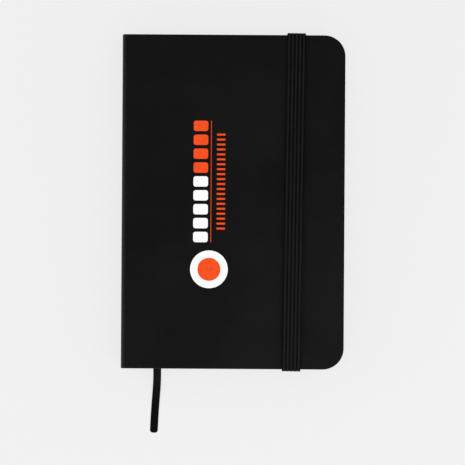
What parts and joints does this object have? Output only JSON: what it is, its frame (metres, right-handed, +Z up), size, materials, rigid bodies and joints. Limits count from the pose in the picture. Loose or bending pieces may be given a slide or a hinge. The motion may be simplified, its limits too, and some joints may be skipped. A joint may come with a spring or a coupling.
{
  "type": "pocket notebook",
  "caption": "Hard-cover pocket notebook with rounded fore-edge corners, sewn pages, a ribbon marker and a flat elastic band round the covers.",
  "frame": {"origin": "under the middle of the closed covers, on the surface that the back cover lies on", "axes": "+Z up out of the front cover, +Y towards the head of the pages, -X towards the spine, +X towards the fore-edge"},
  "size_m": [0.0948, 0.171, 0.0156],
  "materials": {
    "leatherette": "matte",
    "greyboard": "matte",
    "endpaper": "matte",
    "page_paper": "matte",
    "linen_thread": "matte",
    "lining_cloth": "matte",
    "satin_ribbon": "satin",
    "woven_elastic": "matte"
  },
  "bodies": {
    "back_cover": {"back_cover_wrap": "leatherette", "back_board": "greyboard", "back_pastedown": "endpaper", "back_flyleaf": "endpaper", "signature_1": "page_paper", "signature_2": "page_paper", "signature_3": "page_paper", "sewing_thread_1": "linen_thread", "sewing_thread_2": "linen_thread", "sewing_thread_3": "linen_thread", "spine_lining_1": "lining_cloth", "spine_lining_2": "lining_cloth", "spine_lining_3": "lining_cloth", "elastic_head_end": "woven_elastic", "elastic_tail_end": "woven_elastic", "ribbon_marker": "satin_ribbon"},
    "spine": {"spine_wrap": "leatherette", "spine_inlay": "greyboard"},
    "front_cover": {"front_cover_wrap": "leatherette", "front_board": "greyboard", "front_pastedown": "endpaper"},
    "front_flyleaf": {"front_flyleaf": "endpaper"},
    "signature_4": {"signature_4": "page_paper", "sewing_thread_4": "linen_thread", "spine_lining_4": "lining_cloth"},
    "signature_5": {"signature_5": "page_paper", "sewing_thread_5": "linen_thread", "spine_lining_5": "lining_cloth"},
    "signature_6": {"signature_6": "page_paper", "sewing_thread_6": "linen_thread", "spine_lining_6": "lining_cloth"},
    "elastic_band": {"elastic_band": "woven_elastic"}
  },
  "joints": [
    {"name": "front_cover_open", "type": "hinge", "parent": "spine", "child": "front_cover", "pos_m": [-0.04695, 0, 0.01426], "axis": [0, -1, 0], "range_deg": [0, 90]},
    {"name": "spine_fold", "type": "hinge", "parent": "back_cover", "child": "spine", "pos_m": [-0.04695, 0, 0.0004], "axis": [0, -1, 0], "range_deg": [0, 90]},
    {"name": "signature_4_turn", "type": "hinge", "parent": "back_cover", "child": "signature_4", "pos_m": [-0.04455, 0, 0.00733], "axis": [0, -1, 0], "range_deg": [0, 178]},
    {"name": "signature_5_turn", "type": "hinge", "parent": "back_cover", "child": "signature_5", "pos_m": [-0.04455, 0, 0.00733], "axis": [0, -1, 0], "range_deg": [0, 179]},
    {"name": "signature_6_turn", "type": "hinge", "parent": "back_cover", "child": "signature_6", "pos_m": [-0.04455, 0, 0.00733], "axis": [0, -1, 0], "range_deg": [0, 180]},
    {"name": "front_flyleaf_turn", "type": "hinge", "parent": "back_cover", "child": "front_flyleaf", "pos_m": [-0.04455, 0, 0.00733], "axis": [0, -1, 0], "range_deg": [0, 180]},
    {"name": "elastic_band_slip", "type": "slide", "parent": "back_cover", "child": "elastic_band", "axis": [1, 0, 0], "range_m": [0, 0.0265]}
  ],
  "couplings": [
    {"joint": "spine_fold", "follows": "front_cover_open", "ratio": 1},
    {"joint": "signature_4_turn", "follows": "front_cover_open", "ratio": 1.97},
    {"joint": "signature_5_turn", "follows": "front_cover_open", "ratio": 1.978},
    {"joint": "signature_6_turn", "follows": "front_cover_open", "ratio": 1.986},
    {"joint": "front_flyleaf_turn", "follows": "front_cover_open", "ratio": 1.994}
  ]
}
